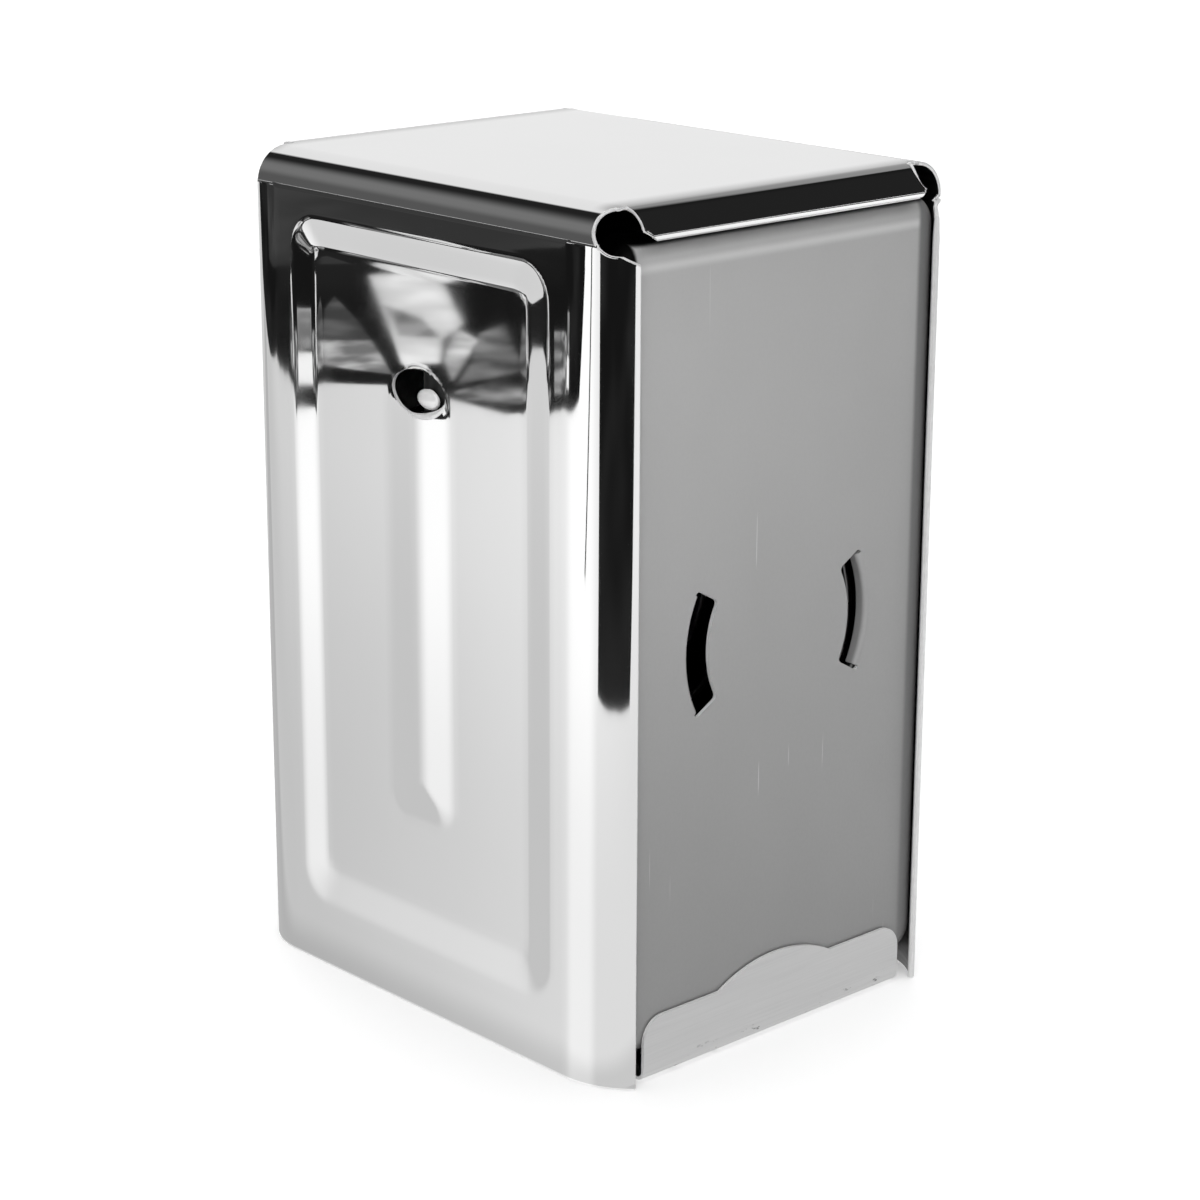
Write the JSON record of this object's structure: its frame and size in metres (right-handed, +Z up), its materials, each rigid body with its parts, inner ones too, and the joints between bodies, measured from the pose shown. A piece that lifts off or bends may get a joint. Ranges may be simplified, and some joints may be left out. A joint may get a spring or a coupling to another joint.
{
  "type": "napkin dispenser",
  "caption": "Upright sheet-steel napkin dispenser: a chromed cover with pressed side panels, open at both ends, where sprung follower plates push the napkins against turned-in edges.",
  "frame": {"origin": "on the table under the middle of the case", "axes": "+Z up, +X out of the front mouth, Y across the two broad sides"},
  "size_m": [0.126, 0.1024, 0.19],
  "materials": {
    "cover": "bright chrome plating on pressed steel sheet",
    "base": "satin, with small scuffs on the lower edge",
    "plate": "satin grey, with fine scratches",
    "divider": "plain rolled sheet",
    "spring": "drawn spring wire"
  },
  "bodies": {
    "case": {"cover": "cover", "base": "base", "center_divider": "divider", "front_spring": "spring", "rear_spring": "spring"},
    "front_follower": {"front_plate": "plate"},
    "rear_follower": {"rear_plate": "plate"}
  },
  "joints": [
    {"name": "front_plate_slide", "type": "slide", "parent": "case", "child": "front_follower", "axis": [-1, 0, 0], "range_m": [0, 0.042], "stiffness_N_per_m": 150, "springref_m": -0.03, "deforming": ["front_spring"]},
    {"name": "rear_plate_slide", "type": "slide", "parent": "case", "child": "rear_follower", "axis": [1, 0, 0], "range_m": [0, 0.042], "stiffness_N_per_m": 150, "springref_m": -0.03, "deforming": ["rear_spring"]}
  ]
}
